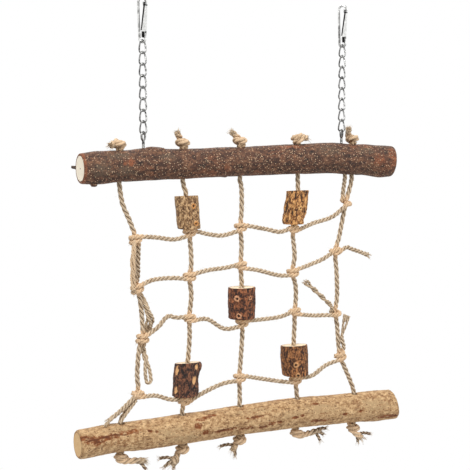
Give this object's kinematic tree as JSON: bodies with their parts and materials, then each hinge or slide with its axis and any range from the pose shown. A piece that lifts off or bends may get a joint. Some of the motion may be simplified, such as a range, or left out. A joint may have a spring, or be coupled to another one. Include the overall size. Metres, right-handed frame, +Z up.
{
  "type": "bird climbing wall",
  "caption": "Hanging climbing wall for cage birds: a knotted rope net with bored bark beads between two bark logs, hung on chains with spring snap clips.",
  "frame": {"origin": "midway between the two clips, on the line where a cage bar bears inside their hooks", "axes": "+X along the logs to the right, +Y to the back, +Z up"},
  "size_m": [0.2769, 0.026, 0.3564],
  "materials": {
    "dark_bark": "dark reddish brown bark with pale specks, cream sawn ends",
    "pale_bark": "pale grey tan bark with rust coloured streaks, tan sawn ends",
    "bead_bark": "brown bark, pale sawn ends",
    "sisal": "laid natural fibre rope",
    "nickel": "bright nickel plate"
  },
  "bodies": {
    "hang_clips": {"left_clip_body": "nickel", "left_clip_rivet": "nickel", "right_clip_body": "nickel", "right_clip_rivet": "nickel"},
    "left_gate": {"left_clip_gate": "nickel"},
    "right_gate": {"right_clip_gate": "nickel"},
    "link_pair_1": {"left_link_1": "nickel", "right_link_1": "nickel"},
    "link_pair_2": {"left_link_2": "nickel", "right_link_2": "nickel"},
    "link_pair_3": {"left_link_3": "nickel", "right_link_3": "nickel"},
    "link_pair_4": {"left_link_4": "nickel", "right_link_4": "nickel"},
    "link_pair_5": {"left_link_5": "nickel", "right_link_5": "nickel"},
    "link_pair_6": {"left_link_6": "nickel", "right_link_6": "nickel"},
    "link_pair_7": {"left_link_7": "nickel", "right_link_7": "nickel"},
    "link_pair_8": {"left_link_8": "nickel", "right_link_8": "nickel"},
    "hung_log": {"top_log": "dark_bark", "left_screw_eye": "nickel", "right_screw_eye": "nickel"},
    "upper_net": {"cross_rope_1": "sisal", "cross_rope_2": "sisal", "hanging_rope_1": "sisal", "hanging_rope_2": "sisal", "hanging_rope_3": "sisal", "hanging_rope_4": "sisal", "hanging_rope_5": "sisal", "left_edge_rope": "sisal"},
    "lower_net": {"cross_rope_3": "sisal", "cross_rope_4": "sisal"},
    "foot_log": {"bottom_log": "pale_bark"},
    "upper_left_bead": {"upper_left_bead": "bead_bark"},
    "upper_right_bead": {"upper_right_bead": "bead_bark"},
    "middle_bead": {"middle_bead": "bead_bark"},
    "lower_left_bead": {"lower_left_bead": "bead_bark"},
    "lower_right_bead": {"lower_right_bead": "bead_bark"}
  },
  "joints": [
    {"name": "left_gate_hinge", "type": "hinge", "parent": "hang_clips", "child": "left_gate", "pos_m": [-0.08522, -0.00078, -0.02565], "axis": [-0.7071, -0.7071, 0], "range_deg": [0, 6.2], "stiffness_Nm_per_rad": 0.01, "springref_deg": -17.19},
    {"name": "right_gate_hinge", "type": "hinge", "parent": "hang_clips", "child": "right_gate", "pos_m": [0.08378, -0.00078, -0.02565], "axis": [-0.7071, -0.7071, 0], "range_deg": [0, 6.2], "stiffness_Nm_per_rad": 0.01, "springref_deg": -17.19},
    {"name": "link_pair_1_swing", "type": "hinge", "parent": "hang_clips", "child": "link_pair_1", "pos_m": [0, 0, -0.03], "axis": [1, 0, 0], "range_deg": [-15, 15]},
    {"name": "link_pair_2_swing", "type": "hinge", "parent": "link_pair_1", "child": "link_pair_2", "pos_m": [0, 0, -0.0384], "axis": [1, 0, 0], "range_deg": [-15, 15]},
    {"name": "link_pair_3_swing", "type": "hinge", "parent": "link_pair_2", "child": "link_pair_3", "pos_m": [0, 0, -0.0468], "axis": [1, 0, 0], "range_deg": [-15, 15]},
    {"name": "link_pair_4_swing", "type": "hinge", "parent": "link_pair_3", "child": "link_pair_4", "pos_m": [0, 0, -0.0552], "axis": [1, 0, 0], "range_deg": [-15, 15]},
    {"name": "link_pair_5_swing", "type": "hinge", "parent": "link_pair_4", "child": "link_pair_5", "pos_m": [0, 0, -0.0636], "axis": [1, 0, 0], "range_deg": [-15, 15]},
    {"name": "link_pair_6_swing", "type": "hinge", "parent": "link_pair_5", "child": "link_pair_6", "pos_m": [0, 0, -0.072], "axis": [1, 0, 0], "range_deg": [-15, 15]},
    {"name": "link_pair_7_swing", "type": "hinge", "parent": "link_pair_6", "child": "link_pair_7", "pos_m": [0, 0, -0.0804], "axis": [1, 0, 0], "range_deg": [-15, 15]},
    {"name": "link_pair_8_swing", "type": "hinge", "parent": "link_pair_7", "child": "link_pair_8", "pos_m": [0, 0, -0.0888], "axis": [1, 0, 0], "range_deg": [-15, 15]},
    {"name": "log_swing", "type": "hinge", "parent": "link_pair_8", "child": "hung_log", "pos_m": [0, 0, -0.0972], "axis": [1, 0, 0], "range_deg": [-25, 25]},
    {"name": "net_swing", "type": "hinge", "parent": "hung_log", "child": "upper_net", "pos_m": [0, 0, -0.1343], "axis": [1, 0, 0], "range_deg": [-40, 40]},
    {"name": "net_fold", "type": "hinge", "parent": "upper_net", "child": "lower_net", "pos_m": [0, 0, -0.2105], "axis": [1, 0, 0], "range_deg": [-30, 30], "deforming": ["hanging_rope_1", "hanging_rope_2", "hanging_rope_3", "hanging_rope_4", "hanging_rope_5", "left_edge_rope"]},
    {"name": "foot_log_swing", "type": "hinge", "parent": "lower_net", "child": "foot_log", "pos_m": [0, 0, -0.3129], "axis": [1, 0, 0], "range_deg": [-25, 25]},
    {"name": "upper_left_bead_spin", "type": "hinge", "parent": "upper_net", "child": "upper_left_bead", "pos_m": [-0.0495, 0, -0.1722], "axis": [-0.0868, 0, 0.9962], "continuous": true},
    {"name": "upper_right_bead_spin", "type": "hinge", "parent": "upper_net", "child": "upper_right_bead", "pos_m": [0.0395, 0, -0.1737], "axis": [0.1365, 0, 0.9906], "continuous": true},
    {"name": "middle_bead_spin", "type": "hinge", "parent": "lower_net", "child": "middle_bead", "pos_m": [-0.0052, 0, -0.2452], "axis": [-0.0034, 0, 1], "continuous": true},
    {"name": "lower_left_bead_spin", "type": "hinge", "parent": "lower_net", "child": "lower_left_bead", "pos_m": [-0.0545, 0, -0.3021], "axis": [0.1101, 0, 0.9939], "continuous": true},
    {"name": "lower_right_bead_spin", "type": "hinge", "parent": "lower_net", "child": "lower_right_bead", "pos_m": [0.0425, 0, -0.2955], "axis": [-0.0566, 0, 0.9984], "continuous": true}
  ]
}
